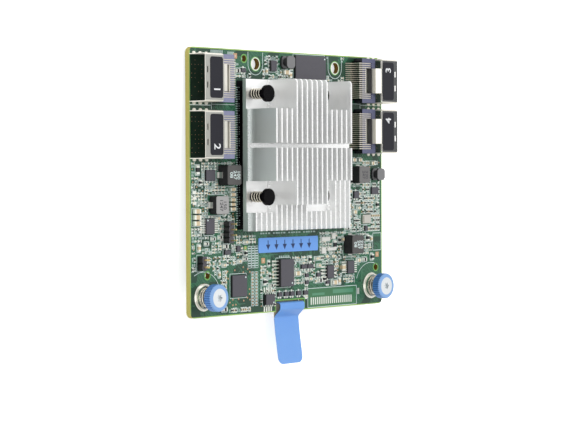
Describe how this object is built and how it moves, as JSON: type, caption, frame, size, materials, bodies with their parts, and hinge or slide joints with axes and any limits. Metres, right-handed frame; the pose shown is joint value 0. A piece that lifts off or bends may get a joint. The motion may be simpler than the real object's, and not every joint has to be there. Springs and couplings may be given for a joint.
{
  "type": "storage controller mezzanine card",
  "caption": "Plug-in storage controller board with finned heat sink, right-angle mini-SAS sockets on both sides, captive thumbscrews, pull tab and a connector on the back.",
  "frame": {"origin": "centre of the mating face of the board-to-board connector on the card's back", "axes": "+Z out of the component side, +Y towards the edge with the two guide holes, +X towards ports 3 and 4"},
  "size_m": [0.1101, 0.118, 0.0244],
  "materials": {
    "laminate": "semi-gloss solder mask",
    "shell_steel": "satin",
    "housing_plastic": "matt",
    "contact_metal": "tinned and gold flashed",
    "dark_label": "matt",
    "sink_aluminium": "satin",
    "pad_silicone": "soft",
    "package_black": "matt moulding",
    "spring_steel": "bright",
    "cap_black": "matt",
    "screw_steel": "zinc plated",
    "knob_blue": "satin",
    "film_blue": "film",
    "label_blue": "matt",
    "connector_black": "matt",
    "ferrite_grey": "matt",
    "lead_tin": "tinned",
    "capacitor_tan": "matt",
    "can_silver": "satin"
  },
  "bodies": {
    "card": {"circuit_board": "laminate", "heat_sink": "sink_aluminium", "thermal_pad": "pad_silicone", "controller_chip": "package_black", "pull_tab": "film_blue", "mezzanine_housing": "connector_black", "mezzanine_contacts": "contact_metal", "install_label": "label_blue", "serial_header_housing": "connector_black", "serial_header_pins": "contact_metal", "jumper_header_housing": "connector_black", "jumper_header_pins": "contact_metal", "upper_choke": "ferrite_grey", "left_choke": "ferrite_grey", "right_choke": "ferrite_grey", "port_choke": "ferrite_grey", "drum_chokes": "ferrite_grey", "flash_chip": "package_black", "bus_chip": "package_black", "clock_chip": "package_black", "supervisor_chip": "package_black", "level_shifter_chip": "package_black", "left_driver_chip": "package_black", "right_driver_chip": "package_black", "small_packages": "package_black", "chip_leads": "lead_tin", "oscillator": "can_silver", "ceramic_capacitors": "capacitor_tan", "port_1_shell": "shell_steel", "port_1_housing": "housing_plastic", "port_1_contacts": "lead_tin", "port_1_label": "dark_label", "port_2_shell": "shell_steel", "port_2_housing": "housing_plastic", "port_2_contacts": "lead_tin", "port_2_label": "dark_label", "port_3_shell": "shell_steel", "port_3_housing": "housing_plastic", "port_3_contacts": "lead_tin", "port_3_label": "dark_label", "port_4_shell": "shell_steel", "port_4_housing": "housing_plastic", "port_4_contacts": "lead_tin", "port_4_label": "dark_label", "left_screw_ferrule": "screw_steel", "right_screw_ferrule": "screw_steel"},
    "upper_left_push_pin_body": {"upper_left_push_pin": "cap_black", "upper_left_pin_spring": "spring_steel"},
    "upper_right_push_pin_body": {"upper_right_push_pin": "cap_black", "upper_right_pin_spring": "spring_steel"},
    "lower_left_push_pin_body": {"lower_left_push_pin": "cap_black", "lower_left_pin_spring": "spring_steel"},
    "lower_right_push_pin_body": {"lower_right_push_pin": "cap_black", "lower_right_pin_spring": "spring_steel"},
    "left_screw_lift": {"left_screw_spring": "spring_steel"},
    "left_screw_turn": {"left_captive_screw": "screw_steel", "left_screw_knob": "knob_blue"},
    "right_screw_lift": {"right_screw_spring": "spring_steel"},
    "right_screw_turn": {"right_captive_screw": "screw_steel", "right_screw_knob": "knob_blue"}
  },
  "joints": [
    {"name": "upper_left_push_pin_press", "type": "slide", "parent": "card", "child": "upper_left_push_pin_body", "axis": [0, 0, -1], "range_m": [0, 0.002], "stiffness_N_per_m": 1500, "springref_m": -0.002, "deforming": ["upper_left_pin_spring"]},
    {"name": "upper_right_push_pin_press", "type": "slide", "parent": "card", "child": "upper_right_push_pin_body", "axis": [0, 0, -1], "range_m": [0, 0.002], "stiffness_N_per_m": 1500, "springref_m": -0.002, "deforming": ["upper_right_pin_spring"]},
    {"name": "lower_left_push_pin_press", "type": "slide", "parent": "card", "child": "lower_left_push_pin_body", "axis": [0, 0, -1], "range_m": [0, 0.002], "stiffness_N_per_m": 1500, "springref_m": -0.002, "deforming": ["lower_left_pin_spring"]},
    {"name": "lower_right_push_pin_press", "type": "slide", "parent": "card", "child": "lower_right_push_pin_body", "axis": [0, 0, -1], "range_m": [0, 0.002], "stiffness_N_per_m": 1500, "springref_m": -0.002, "deforming": ["lower_right_pin_spring"]},
    {"name": "left_screw_press", "type": "slide", "parent": "card", "child": "left_screw_lift", "axis": [0, 0, -1], "range_m": [0, 0.0022], "stiffness_N_per_m": 1500, "springref_m": -0.002, "deforming": ["left_screw_spring"]},
    {"name": "left_screw_turn", "type": "hinge", "parent": "left_screw_lift", "child": "left_screw_turn", "pos_m": [-0.04665, -0.0178, 0.006], "axis": [0, 0, 1], "continuous": true},
    {"name": "right_screw_press", "type": "slide", "parent": "card", "child": "right_screw_lift", "axis": [0, 0, -1], "range_m": [0, 0.0022], "stiffness_N_per_m": 1500, "springref_m": -0.002, "deforming": ["right_screw_spring"]},
    {"name": "right_screw_turn", "type": "hinge", "parent": "right_screw_lift", "child": "right_screw_turn", "pos_m": [0.04925, -0.0178, 0.006], "axis": [0, 0, 1], "continuous": true}
  ]
}
